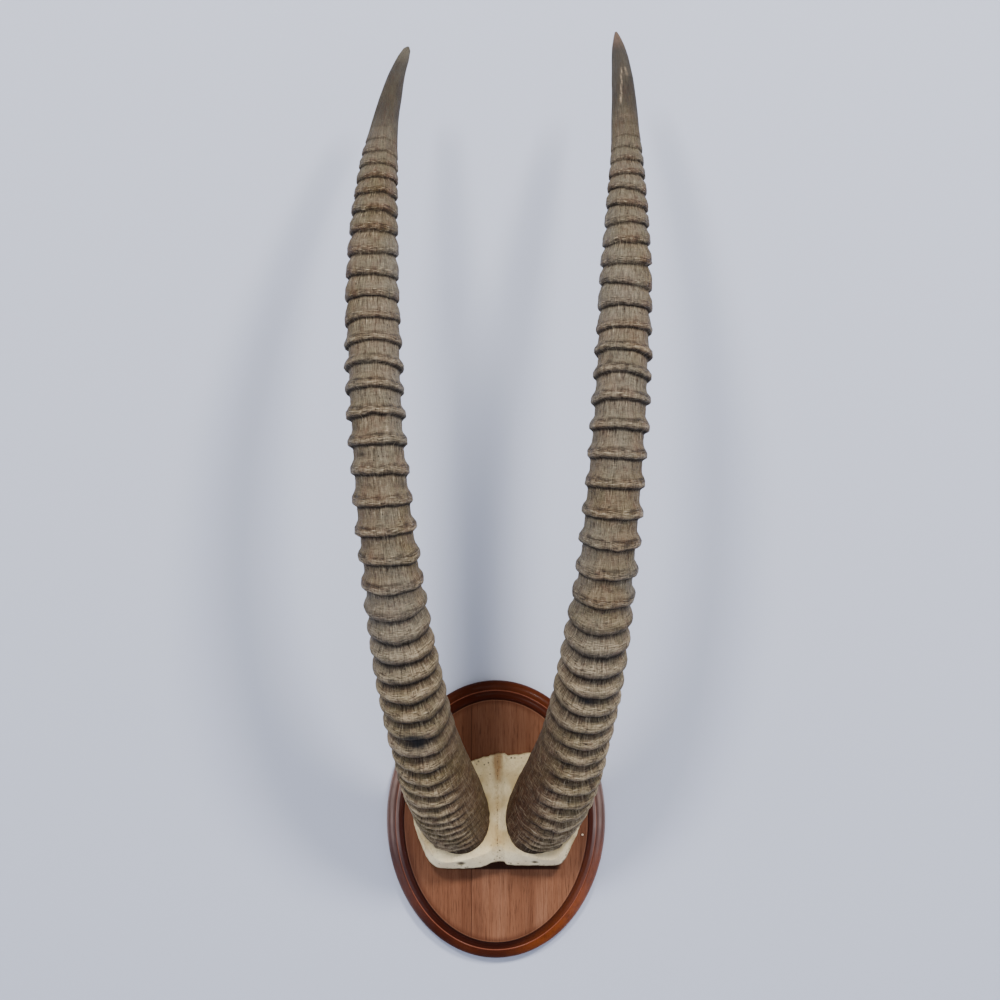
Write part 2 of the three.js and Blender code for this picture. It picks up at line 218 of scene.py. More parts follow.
def addStage():
    plaster = plasterMaterial()
    gap = stageSet["wallGap"] * mm
    wall = bmesh.new()
    sides = stageSet["wallSides"]
    bmesh.ops.create_circle(wall, segments=sides, radius=stageSet["wallReach"] * mm)
    opening = bmesh.ops.create_circle(wall, segments=sides, radius=mm)["verts"]
    bmesh.ops.scale(wall, verts=opening, vec=(*stageSet["wallOpening"], 1))
    bmesh.ops.bridge_loops(wall, edges=wall.edges)
    upright = Vector((0, -1, 0)).to_track_quat("Z", "Y").to_matrix()
    bmesh.ops.rotate(wall, verts=wall.verts, matrix=upright)
    bmesh.ops.translate(wall, verts=wall.verts, vec=(0, gap, 0))
    wall.normal_update()
    if sum(face.normal.y for face in wall.faces) > 0:
        bmesh.ops.reverse_faces(wall, faces=wall.faces)
    floor = bmesh.new()
    half = stageSet["floorHalf"] * mm
    bmesh.ops.create_grid(floor, x_segments=1, y_segments=1, size=half)
    bmesh.ops.translate(floor, verts=floor.verts, vec=(0, gap - half, stageSet["floorHeight"] * mm))
    for name, sheet in (("wall", wall), ("floor", floor)):
        mesh = takeMesh(name, sheet)
        mesh.materials.append(plaster)
        thing = addObject(name, mesh)


# shader node groups: each takes a place on the surface and gives masks or heights

def newGroup(name, inputs, outputs):
    group = bpy.data.node_groups.new(name, "ShaderNodeTree")
    for label, kind, value in inputs:
        socket = group.interface.new_socket(label, in_out="INPUT", socket_type=kind)
        if value is not None:
            socket.default_value = value
    for label, kind in outputs:
        group.interface.new_socket(label, in_out="OUTPUT", socket_type=kind)
    return group, group.nodes.new("NodeGroupInput"), group.nodes.new("NodeGroupOutput")


def feed(tree, socket, value):  # a link where the value comes from a node, and a fixed value otherwise
    if hasattr(value, "links"):
        tree.links.new(value, socket)
    elif value is not None:
        socket.default_value = value


def addMath(tree, operation, first, second, clamp=False):
    node = tree.nodes.new("ShaderNodeMath")
    node.operation = operation
    node.use_clamp = clamp
    for socket, value in zip(node.inputs, (first, second)):
        feed(tree, socket, value)
    return node.outputs["Value"]


def addRange(tree, value, low, high, toLow=0.0, toHigh=1.0):
    node = tree.nodes.new("ShaderNodeMapRange")
    node.interpolation_type = "SMOOTHSTEP"
    tree.links.new(value, node.inputs["Value"])
    for label, number in (("From Min", low), ("From Max", high), ("To Min", toLow), ("To Max", toHigh)):
        feed(tree, node.inputs[label], number)
    return node.outputs["Result"]


def addNoise(tree, place, scale, detail, rough):
    node = tree.nodes.new("ShaderNodeTexNoise")
    tree.links.new(place, node.inputs["Vector"])
    feed(tree, node.inputs["Scale"], scale)
    node.inputs["Detail"].default_value = detail
    node.inputs["Roughness"].default_value = rough
    return node.outputs["Fac"]


def addMapping(tree, place, scale, shift=(0, 0, 0)):
    node = tree.nodes.new("ShaderNodeMapping")
    tree.links.new(place, node.inputs["Vector"])
    node.inputs["Scale"].default_value = scale
    node.inputs["Location"].default_value = shift
    return node.outputs["Vector"]


def addMix(tree, amount, first, second):
    node = tree.nodes.new("ShaderNodeMix")
    node.data_type = "RGBA"
    for number, value in ((0, amount), (6, first), (7, second)):  # the sockets for colours
        feed(tree, node.inputs[number], value)
    return node.outputs[2]


def addBump(tree, height, strength, distance, normal=None):
    node = tree.nodes.new("ShaderNodeBump")
    tree.links.new(height, node.inputs["Height"])
    node.inputs["Strength"].default_value = strength
    node.inputs["Distance"].default_value = distance
    if normal is not None:
        tree.links.new(normal, node.inputs["Normal"])
    return node.outputs["Normal"]


def addAttribute(tree, name, output="Fac"):
    node = tree.nodes.new("ShaderNodeAttribute")
    node.attribute_name = name
    return node.outputs[output]


def addMeasure(tree, operation, place, other=(0, 0, 0)):  # a length, or the distance to another place
    node = tree.nodes.new("ShaderNodeVectorMath")
    node.operation = operation
    tree.links.new(place, node.inputs[0])
    node.inputs[1].default_value = other
    return node.outputs["Value"]


def splitVector(tree, vector):
    parts = tree.nodes.new("ShaderNodeSeparateXYZ")
    tree.links.new(vector, parts.inputs["Vector"])
    return parts.outputs


def splitMarks(tree, name):
    return splitVector(tree, addAttribute(tree, name, "Vector"))


def shortForms(tree, look):  # brief forms of the steps that every material repeats
    def paint(amount, below, name):  # one colour of the look, laid over what is below
        return addMix(tree, amount, below, linear(*look[name]))

    def times(first, *others):
        for other in others:
            first = addMath(tree, "MULTIPLY", first, other)
        return first

    def plus(first, second, clamp=False):
        return addMath(tree, "ADD", first, second, clamp)

    def without(value):
        return addMath(tree, "SUBTRACT", 1, value)

    def eitherSide(value, centre=0):  # how far a value is from the centre, to either side
        return addMath(tree, "ABSOLUTE", addMath(tree, "SUBTRACT", value, centre), None)

    return paint, times, plus, without, eitherSide


def useGroup(tree, group, place, **values):
    node = tree.nodes.new("ShaderNodeGroup")
    node.node_tree = group
    tree.links.new(place, node.inputs["Place"])
    for label, value in values.items():
        node.inputs[label].default_value = value
    return node


def makeFibreGroup():  # long fibres along Z of the place it is given
    group, start, end = newGroup(
        "fibres",
        [("Place", "NodeSocketVector", None), ("Scale", "NodeSocketFloat", 900.0),
         ("Along", "NodeSocketFloat", 0.06)],
        [("Dark", "NodeSocketFloat"), ("Light", "NodeSocketFloat"), ("Height", "NodeSocketFloat")],
    )
    stretch = group.nodes.new("ShaderNodeCombineXYZ")
    stretch.inputs["X"].default_value = 1
    stretch.inputs["Y"].default_value = 1
    group.links.new(start.outputs["Along"], stretch.inputs["Z"])
    scaled = group.nodes.new("ShaderNodeVectorMath")
    scaled.operation = "MULTIPLY"
    group.links.new(start.outputs["Place"], scaled.inputs[0])
    group.links.new(stretch.outputs["Vector"], scaled.inputs[1])
    wide = addNoise(group, scaled.outputs["Vector"], start.outputs["Scale"], 3.0, 0.6)
    finer = addMath(group, "MULTIPLY", start.outputs["Scale"], 2.7)
    fine = addNoise(group, scaled.outputs["Vector"], finer, 2.0, 0.6)
    both = addMath(group, "ADD", addMath(group, "MULTIPLY", wide, 0.6), addMath(group, "MULTIPLY", fine, 0.4))
    group.links.new(addRange(group, both, 0.5, 0.36), end.inputs["Dark"])
    group.links.new(addRange(group, both, 0.53, 0.68), end.inputs["Light"])
    group.links.new(both, end.inputs["Height"])
    return group


def makeMottleGroup():  # broad soft patches and small blotches
    group, start, end = newGroup(
        "mottle",
        [("Place", "NodeSocketVector", None), ("Scale", "NodeSocketFloat", 25.0)],
        [("Patch", "NodeSocketFloat"), ("Blotch", "NodeSocketFloat")],
    )
    broad = addNoise(group, start.outputs["Place"], start.outputs["Scale"], 2.0, 0.5)
    finer = addMath(group, "MULTIPLY", start.outputs["Scale"], 6.5)
    small = addNoise(group, start.outputs["Place"], finer, 4.0, 0.62)
    group.links.new(addRange(group, broad, 0.36, 0.66), end.inputs["Patch"])
    group.links.new(addRange(group, small, 0.46, 0.7), end.inputs["Blotch"])
    return group


def makeSpeckGroup():  # scattered dots: pores and pits, and specks of dirt
    group, start, end = newGroup(
        "specks",
        [("Place", "NodeSocketVector", None), ("Scale", "NodeSocketFloat", 120.0),
         ("Size", "NodeSocketFloat", 0.12), ("Amount", "NodeSocketFloat", 0.5)],
        [("Mask", "NodeSocketFloat")],
    )
    cells = group.nodes.new("ShaderNodeTexVoronoi")
    group.links.new(start.outputs["Place"], cells.inputs["Vector"])
    group.links.new(start.outputs["Scale"], cells.inputs["Scale"])
    pick = group.nodes.new("ShaderNodeSeparateColor")
    group.links.new(cells.outputs["Color"], pick.inputs["Color"])
    chosen = addMath(group, "LESS_THAN", pick.outputs["Red"], start.outputs["Amount"])
    size = addMath(group, "MULTIPLY", start.outputs["Size"], pick.outputs["Green"])
    core = addMath(group, "MULTIPLY", size, 0.35)
    dot = addRange(group, cells.outputs["Distance"], size, core)
    group.links.new(addMath(group, "MULTIPLY", dot, chosen), end.inputs["Mask"])
    return group


fibres = makeFibreGroup()
mottle = makeMottleGroup()
specks = makeSpeckGroup()


def newMaterial(name):
    material = bpy.data.materials.new(name)
    material.use_nodes = True
    tree = material.node_tree
    return material, tree, tree.nodes["Principled BSDF"]


# horns

hornShape = {
    "seatAxis": (40, 11),  # depth and height at which the axis meets the seat
    "pitchBase": 52, "pitchTip": -48, "pitchBow": 6,  # tilt from upright towards the room, in degrees
    "flattening": [(0, 1.1), (0.5, 1.1), (1, 1)],
    "slant": [(0, 0), (270, 0), (340, -9), (440, -11), (505, -15), (545, -6), (600, 8), (900, 10)],
    "ringEnd": 730,
    "fadeEnd": 60,  # below this distance the grid lines ease over to the slanting base rim
    "sides": 128,
    "ringRows": [0, 0.025, 0.05, 0.085, 0.13, 0.19, 0.26, 0.34, 0.43, 0.52, 0.62, 0.72, 0.82,
                 0.9, 0.95, 0.98],
    "tipRows": 54,
    "wrap": 30,  # radius on which the fibres' pattern is wound
}

seatShape = {"depth": 42.5, "height": 15, "slope": -0.163, "x": 43, "crown": 2.5, "crownRun": 35, "gap": 0.35}

hornSides = {
    "left_horn": {
        "side": -1, "x": -41.4, "length": 860, "lean": (14.6, 6.8, 0.3, -13.3),
        "girth": [(-70, 33), (0, 34.8), (30, 36.2), (70, 34.8), (120, 31.6), (190, 29.6), (255, 28),
                  (325, 26.2), (400, 24.9), (510, 24.8), (565, 23.6), (612, 21.9), (660, 19.2), (710, 16),
                  (731, 13.8), (753, 12.1), (779, 10.4), (807, 8.4), (838, 6), (853, 3.9), (860, 1.2)],
        "firstNotch": -11,
        "pitches": [(0, 8), (36, 10), (61, 13.5), (93, 17.5), (130, 20.5), (173, 20.5), (233, 22), (302, 25),
                    (380, 27.8), (434, 24.5), (480, 20.8), (605, 21), (644, 17.8), (692, 13.3), (721, 15)],
        "chips": [(277, 86, 9, 1.6), (425, 40, 5, 0.8), (398, -60, 4, 0.7)],  # place, angle, size, depth
        "stains": [(147, 2, 15, 8), (158, 8, 11, 4)],  # place, angle, half size round and along the horn
        "paleMarks": [(450, -25, 1.6, 1.4), (444, -14, 9, 0.5), (462, -30, 2, 0.8), (436, 10, 2, 0.7)],
        "seed": 11,
    },
    "right_horn": {
        "side": 1, "x": 45, "length": 875, "lean": (17.4, 5.9, 1.9, -4),
        "girth": [(-70, 33), (0, 34.8), (30, 36.2), (70, 35.2), (120, 32), (190, 29.8), (255, 28.2),
                  (325, 26.4), (400, 25.3), (510, 24.4), (560, 22.9), (601, 21.6), (647, 18.5), (697, 15),
                  (735, 13.2), (751, 12.6), (776, 11.5), (803, 10.1), (832, 7.9), (850, 5.9), (866, 3.3),
                  (875, 1.3)],
        "firstNotch": -11,
        "pitches": [(0, 8.6), (20, 13), (49, 20), (127, 19), (204, 21), (249, 24.5), (350, 27.5), (404, 25.8),
                    (454, 24), (498, 20.5), (561, 21), (622, 18), (674, 15), (726, 12.5)],
        "chips": [(348, 30, 5, 0.8), (505, -35, 4, 0.6)],
        "stains": [(196, -4, 9, 3)],
        "paleMarks": [(803, -6, 0.5, 4), (795, -11, 0.7, 3.5), (788, -9, 0.5, 4), (780, -15, 0.7, 4),
                      (773, -13, 0.5, 4), (766, -18, 0.9, 4), (806, 16, 0.8, 2), (800, 21, 1.1, 1.4),
                      (745, -6, 7, 0.6), (752, -3, 6, 0.5)],
        "seed": 23,
    },
}


def seatDepth(x, z):
    s = seatShape
    beyond = np.maximum(np.abs(x) - s["x"], 0) / s["crownRun"]
    return s["depth"] + s["slope"] * (z - s["height"]) - s["crown"] * beyond ** 2


def hornAxis(horn):  # gives the section's centre and directions at any distance from the seat
    s = hornShape
    steps = 430
    u = np.arange(steps + 1) / steps
    hump = 4 * u * (1 - u)
    pitch = np.radians(s["pitchBase"] + (s["pitchTip"] - s["pitchBase"]) * u + s["pitchBow"] * hump)
    lean = np.radians(thirdsCurve(horn["lean"], u))
    direction = np.stack([horn["side"] * np.sin(lean), np.cos(lean) * np.sin(pitch),
                          np.cos(lean) * np.cos(pitch)], 1)
    front = np.stack([0 * pitch, np.cos(pitch), -np.sin(pitch)], 1)
    outward = np.cross(direction, front)
    outward *= np.sign(outward[:, :1] * horn["side"])
    outward /= np.linalg.norm(outward, axis=1, keepdims=True)
    step = horn["length"] / steps
    start = np.array([horn["x"], *s["seatAxis"]])
    centre = start + np.vstack([np.zeros(3), np.cumsum(direction[:-1], 0)]) * step
    distance = u * horn["length"]

    def section(place):
        def read(rows):
            return np.stack([np.interp(place, distance, rows[:, k]) for k in range(3)], -1)
        before = np.minimum(place, 0)[..., None] * direction[0]
        beyond = np.maximum(place - horn["length"], 0)[..., None] * direction[-1]
        return read(centre) + before + beyond, read(front), read(outward)
    return section


def ringNotches(horn):
    places = [horn["firstNotch"]]
    while places[-1] < hornShape["ringEnd"]:
        places.append(places[-1] + lookUp(horn["pitches"], places[-1]))
    return np.array(places)


def ringStrength(angle, place):  # the rings swell only at the front near the base, and go right round above
    frontOnly = 0.04 + smoothStep(0.26, 0.86, np.cos(angle - 0.52))
    allRound = 0.88 + 0.12 * np.cos(angle - 0.6)
    return frontOnly + (allRound - frontOnly) * smoothStep(105, 225, place)


# where a ring's swelling rises and falls, and the dark notch's centre and half-width, in shares of the pitch
ringForms = {
    "low": {"rise": (-0.1, 0.33), "fall": (0.44, 0.9), "height": 5.8, "dark": (0.03, 0.15)},
    "middle": {"rise": (-0.11, 0.07), "fall": (0.22, 0.56), "height": 4.7, "dark": (-0.035, 0.055)},
    "high": {"rise": (-0.06, 0.14), "fall": (0.5, 1.0), "height": 3.2, "dark": (-0.01, 0.06)},
}


def ringRelief(share, pitch, place):  # height over the girth, and masks for the material
    low = 1 - smoothStep(225, 320, place)
    high = smoothStep(505, 575, place)
    weights = {"low": low, "middle": 1 - low - high, "high": high}
    near = np.where(share < 0.5, share, share - 1)
    small = np.clip(pitch / 17, 0.3, 1)
    height = np.zeros(len(share))
    notch = np.zeros(len(share))
    for name, form in ringForms.items():
        up = smoothStep(*form["rise"], near)
        stay = 1 - smoothStep(*form["fall"], share)
        swell = np.where(share < 0.5, up * stay, stay + up * (1 - stay))
        dark = np.exp(-((near - form["dark"][0]) / form["dark"][1]) ** 2)
        height += weights[name] * small * (form["height"] * (swell - 0.42) - 0.5 * dark)
        notch += weights[name] * dark
    lip = smoothStep(-0.02, 0.05, share) * (1 - smoothStep(0.26, 0.36, share)) * (1 - 0.8 * low)
    pair = np.exp(-((share - 0.31) * pitch / 0.8) ** 2) * (1 - low) * (1 - high)
    height -= 0.45 * pair
    # crest marks the tops of the low rolls and a streak along each bead higher up; the material paints them
    # paler, partly a paler tone of the crests and partly a painted highlight
    crest = low * np.exp(-((share - 0.5) / 0.17) ** 2)
    crest += 0.8 * weights["middle"] * np.exp(-((share - 0.14) / 0.07) ** 2)
    hollow = smoothStep(0.45, 0.85, share)
    return height, lip, notch, hollow, pair, crest


def markMask(marks, angle, place, width):  # soft spots on the horn, each with its own half sizes
    mask = np.zeros(len(place))
    for at, degrees, around, along in marks:
        turn = np.angle(np.exp(1j * (angle - math.radians(degrees)))) * width
        mask = np.maximum(mask, np.exp(-((turn / around) ** 2 + ((place - at) / along) ** 2)))
    return mask


def hornRows(horn, notches):  # distances of the rows of points: the same number in every ring
    places = list(np.linspace(-24, notches[0], 6, endpoint=False))
    for low, high in zip(notches[:-1], notches[1:]):
        places += [low + share * (high - low) for share in hornShape["ringRows"]]
    rest = np.linspace(0, 1, hornShape["tipRows"])
    places += list(notches[-1] + (horn["length"] - notches[-1]) * (1 - (1 - rest) ** 1.4))
    return np.array(places)


def baseRim(section, horn, angle):  # distance at which each side of the horn meets the seat
    low, high = np.full(len(angle), -80.0), np.full(len(angle), 90.0)
    for _ in range(30):
        middle = (low + high) / 2
        centre, front, outward = section(middle)
        width = lookUp(horn["girth"], middle)
        deep = width * lookUp(hornShape["flattening"], middle / horn["length"])
        point = centre + front * (deep * np.cos(angle))[:, None] + outward * (width * np.sin(angle))[:, None]
        above = point[:, 1] > seatDepth(point[:, 0], point[:, 2])
        high = np.where(above, middle, high)
        low = np.where(above, low, middle)
    return high


def makeHorn(name, material):
    horn = hornSides[name]
    section = hornAxis(horn)
    notches = ringNotches(horn)
    rows = hornRows(horn, notches)
    tube = unitTube(hornShape["sides"], len(rows) - 1)
    angle, height = tubePlaces(tube)
    place = np.interp(height * (len(rows) - 1), np.arange(len(rows)), rows)
    rim = baseRim(section, horn, angle)
    end = hornShape["fadeEnd"]
    eased = rim + (place - rows[0]) * (end - rim) / (end - rows[0])
    place = np.where(place < end, eased, place)

    width = lookUp(horn["girth"], place)
    spread = width * np.cos(angle)
    cosA, sinA = np.cos(angle), np.sin(angle)
    # each ring has its own tilt, strength and waver
    draw = np.random.default_rng(horn["seed"])
    tilt = np.interp(place, notches, draw.normal(0, 0.045, len(notches)))
    power = np.interp(place, notches, draw.uniform(0.82, 1.2, len(notches)))
    seed = horn["seed"]
    waver = noiseAt(cosA * 1.6 + seed, sinA * 1.6, place / 34, 3)
    wavy = 1.2 + 2 * (1 - smoothStep(60, 260, place))
    slant = np.tan(np.radians(lookUp(hornShape["slant"], place)))
    ringPlace = place + slant * spread + tilt * width * sinA + waver * wavy
    number = np.searchsorted(notches, ringPlace, side="right") - 1
    number = np.clip(number, 0, len(notches) - 2)
    pitch = notches[number + 1] - notches[number]
    share = np.clip((ringPlace - notches[number]) / pitch, 0, 1)
    strength = np.clip(ringStrength(angle, place), 0, 1.1)
    lastRing = notches[-1]
    strength *= smoothStep(-26, -6, ringPlace) * (1 - smoothStep(lastRing - 60, lastRing + 6, ringPlace))
    strength *= 1 - 0.85 * smoothStep(660, 740, place) * smoothStep(0.1, 0.8, -sinA)
    relief, lip, notch, hollow, pair, crest = ringRelief(share, pitch, ringPlace)
    offset = relief * strength * power

    # slow unevenness, lengthwise ribs and fine chatter
    offset += 0.8 * noiseAt(cosA * 1.3 + 3, sinA * 1.3 + seed, place / 60, 2)
    ribs = noiseAt(cosA * 9 + seed, sinA * 9, place / 90, 2)
    offset += ribs * (0.25 + 0.3 * (1 - strength)) * smoothStep(0, 20, width)
    offset += 0.5 * noiseAt(cosA * 5, sinA * 5 + seed, place / 4, 2) * strength
    chipMask = np.zeros(len(place))
    for at, degrees, size, depth in horn["chips"]:
        turn = np.angle(np.exp(1j * (angle - math.radians(degrees)))) * width
        dent = np.exp(-((turn / size) ** 2 + ((ringPlace - at) / (0.5 * size)) ** 2))
        offset -= depth * dent
        chipMask = np.maximum(chipMask, dent)
    offset *= np.clip(width / 6, 0, 1)

    centre, front, outward = section(place)
    deep = width * lookUp(hornShape["flattening"], place / horn["length"])
    point = centre + front * ((deep + offset) * cosA)[:, None] + outward * ((width + offset) * sinA)[:, None]
    moveTo(tube, *point.T)
    wrap = hornShape["wrap"] * mm
    addMarks(tube, "fibrePlace", np.stack([cosA * wrap, sinA * wrap + seed, place * mm], 1))
    strength = np.clip(strength, 0, 1)
    addMarks(tube, "crossPlace", np.stack([cosA * wrap, sinA * wrap + seed, ringPlace * mm], 1))
    addMarks(tube, "ringMarks", np.stack([lip * strength, notch * strength ** 0.45, hollow * strength], 1))
    addMarks(tube, "fineMarks", np.stack([pair * strength, chipMask, crest * strength], 1))
    stain = markMask(horn["stains"], angle, place, width)
    pale = markMask(horn["paleMarks"], angle, place, width)
    rimLine = (1 - smoothStep(0.5, 3.5, place - rim)) * (0.6 + 0.6 * waver)
    addMarks(tube, "spotMarks", np.stack([stain, pale, np.clip(rimLine, 0, 1)], 1))
    addMarks(tube, "alongHorn", place / horn["length"])
    addMarks(tube, "innerSide", np.clip(-sinA, 0, 1) * (1 - smoothStep(20, 190, place)))
    closePole(tube, height)
    return makePiece(name.replace("_horn", "HornSheath"), tube, material, [name])


hornLook = {
    "byLength": [(0, (86, 60, 29)), (0.12, (92, 68, 36)), (0.34, (98, 81, 57)), (0.6, (106, 89, 69)),
                 (0.8, (87, 75, 60)), (0.87, (45, 42, 38)), (0.955, (37, 36, 34))],
    "tipFrom": 0.985,
    "valley": (122, 110, 90), "lip": (82, 54, 34), "crest": (184, 164, 130), "notch": (20, 12, 7),
    "grey": (120, 116, 106), "moss": (86, 76, 38), "rosy": (112, 80, 62),
    "fibreDark": (30, 20, 12), "fibreLight": (180, 165, 136),
    "stain": (18, 20, 26), "paleMark": (198, 174, 146),
    # zones as shares of the horn's length
    "smooth": (0.8, 0.88), "lowPart": (0.36, 0.27), "greying": (0.1, 0.36),
}

hornTones = {
    "left_horn": {"tip": (104, 99, 84), "inner": (98, 72, 44), "innerAmount": 0.6},
    "right_horn": {"tip": (124, 98, 82), "inner": (68, 30, 10), "innerAmount": 0.95},
}


def lengthRamp(tree, look, along):
    ramp = tree.nodes.new("ShaderNodeValToRGB")
    tree.links.new(along, ramp.inputs["Fac"])
    stops = look["byLength"] + [(look["tipFrom"], look["tip"])]
    while len(ramp.color_ramp.elements) < len(stops):
        ramp.color_ramp.elements.new(0.5)
    for element, (at, rgb) in zip(ramp.color_ramp.elements, stops):
        element.position = at
        element.color = linear(*rgb)
    return ramp.outputs["Color"]


def hornMaterial(name):
    look = {**hornLook, **hornTones[name]}
    material, tree, surface = newMaterial(name.replace("_horn", "HornKeratin"))
    paint, times, plus, without, _ = shortForms(tree, look)
    place = addAttribute(tree, "fibrePlace", "Vector")
    lip, notch, hollow = splitMarks(tree, "ringMarks")
    pair, chips, crest = splitMarks(tree, "fineMarks")
    stain, pale, rimLine = splitMarks(tree, "spotMarks")
    along = addAttribute(tree, "alongHorn")
    long = useGroup(tree, fibres, place, Scale=620, Along=0.13).outputs
    fine = useGroup(tree, fibres, place, Scale=1400, Along=0.06).outputs
    spots = useGroup(tree, mottle, place, Scale=34).outputs
    grime = useGroup(tree, mottle, place, Scale=90).outputs
    weather = useGroup(tree, mottle, place, Scale=17).outputs
    pits = useGroup(tree, specks, place, Scale=170, Size=0.24, Amount=0.3).outputs["Mask"]
    acrossPlace = addMapping(tree, addAttribute(tree, "crossPlace", "Vector"), scale=(0.1, 0.1, 1))
    growth = addNoise(tree, acrossPlace, 1300, 2.0, 0.6)

    flat = without(plus(lip, notch, True))
    bare = addRange(tree, along, *look["smooth"], 1, 0.3)  # the smooth tips show little fibre
    colour = paint(times(flat, bare, 0.4), lengthRamp(tree, look, along), "valley")
    colour = paint(times(lip, 0.66), colour, "lip")
    # painted shade: low on the horn, everything off the ring crests is darkened, standing in for the shade
    # between the rolls
    between = times(addRange(tree, along, *look["lowPart"]), without(crest))
    colour = paint(times(between, 0.26), colour, "fibreDark")
    # the ring crests are painted paler: partly their own paler tone, partly a painted highlight on the tops
    # of the rolls
    colour = paint(times(crest, times(plus(0.45, growth), 0.85)), colour, "crest")
    colour = paint(times(spots["Patch"], 0.5, bare), colour, "moss")
    colour = paint(times(weather["Blotch"], 0.4, bare), colour, "rosy")
    greying = times(weather["Patch"], addRange(tree, along, *look["greying"]), bare)
    colour = paint(times(greying, 0.5), colour, "grey")
    inner = times(addAttribute(tree, "innerSide"), look["innerAmount"])
    colour = paint(inner, colour, "inner")
    stripes = times(plus(0.34, times(hollow, 0.5)), bare)
    colour = paint(times(long["Light"], stripes), colour, "fibreLight")
    colour = paint(times(long["Dark"], plus(stripes, 0.14)), colour, "fibreDark")
    colour = paint(times(fine["Dark"], 0.5), colour, "fibreDark")
    colour = paint(times(fine["Light"], times(bare, 0.25)), colour, "fibreLight")
    colour = paint(times(spots["Blotch"], 0.3), colour, "fibreDark")
    colour = paint(times(grime["Blotch"], 0.35), colour, "lip")
    # growth lines run round the horn on the rolls and lips
    banded = plus(crest, plus(times(inner, 0.6), 0.25))
    ridged = times(plus(lip, banded, True), bare)
    colour = paint(times(addRange(tree, growth, 0.48, 0.36), times(ridged, 0.7)), colour, "fibreDark")
    colour = paint(times(addRange(tree, growth, 0.56, 0.7), times(ridged, 0.6)), colour, "fibreLight")
    colour = paint(times(pits, 0.75), colour, "notch")
    # painted shade: the pair lines and the notches under the ring lips are painted near-black for the shade
    # in these grooves, with some dirt in them
    colour = paint(times(pair, 0.75), colour, "notch")
    colour = paint(times(notch, 0.94), colour, "notch")
    colour = paint(times(notch, long["Light"], 0.28), colour, "fibreLight")
    colour = paint(times(chips, 0.8), colour, "notch")
    colour = paint(times(stain, 0.93), colour, "stain")
    colour = paint(times(rimLine, 0.75), colour, "notch")
    colour = paint(times(pale, addRange(tree, growth, 0.4, 0.6, 0.2, 0.8)), colour, "paleMark")
    tree.links.new(colour, surface.inputs["Base Color"])

    rough = addMath(tree, "SUBTRACT", 0.6, times(lip, 0.18))
    rough = plus(rough, times(plus(fine["Dark"], notch), 0.25), True)
    tree.links.new(rough, surface.inputs["Roughness"])
    surface.inputs["Specular IOR Level"].default_value = 0.18
    relief = addBump(tree, long["Height"], 0.9, 0.0018)
    relief = addBump(tree, fine["Height"], 0.6, 0.0006, relief)
    relief = addBump(tree, without(pits), 0.5, 0.0008, relief)
    relief = addBump(tree, times(growth, ridged), 0.9, 0.0014, relief)
    tree.links.new(relief, surface.inputs["Normal"])
    return material


# skull plate

plateShape = {
    "outline": [(4, 68), (-11, 64), (-26, 60), (-46, 58), (-66, 47), (-78, 27), (-82.5, 5), (-79.5, -9),
                (-74.5, -22), (-67.5, -36), (-60, -42.8), (-50, -44.8), (-26, -44.6), (-12, -42.6),
                (-5, -39.3), (1, -38), (8, -38.2), (13, -41.2), (38, -41.8), (60, -41.6), (68, -36),
                (75, -23.5), (81, -11.5), (85, 5), (82, 32), (69, 52), (49, 65), (32, 68), (14, 66)],
    "centre": (2, 12),
    "back": 20.35,
    "rim": 28, "browExtra": 10, "browRise": (-12, -38),  # depth of the sawn edge, and more along the brow
    "slopeSide": 4, "slopeEnd": 17,
    "ridge": (4, 1.8, 6),  # x, height and half-width
    "bare": (3.5, 10, -26, 50),  # what the horns leave bare: x, half-width, and below and above which z
    "sides": 300, "rows": 130, "edgeRows": 10,
    # vessel holes: x, z, half sizes and depth
    "holes": [(-34.7, -38.6, 4, 1.7, 3), (38.6, -37.6, 3.2, 1.4, 2.4)],
}


def closedCurve(points, count):  # smooth closed curve through the points, evenly spaced
    ring = np.array(points, float)
    before, after, last = np.roll(ring, 1, 0), np.roll(ring, -1, 0), np.roll(ring, -2, 0)
    t = np.linspace(0, 1, 24, endpoint=False)[None, :, None]
    a, b, c, d = (part[:, None, :] for part in (before, ring, after, last))
    curve = 0.5 * (2 * b + (c - a) * t + (2 * a - 5 * b + 4 * c - d) * t ** 2
                   + (3 * b - a - 3 * c + d) * t ** 3)
    curve = curve.reshape(-1, 2)
    run = np.append(0, np.cumsum(np.linalg.norm(np.roll(curve, -1, 0) - curve, axis=1)))
    closed = np.vstack([curve, curve[:1]])
    at = np.linspace(0, run[-1], count, endpoint=False)
    return np.stack([np.interp(at, run, closed[:, k]) for k in range(2)], 1)


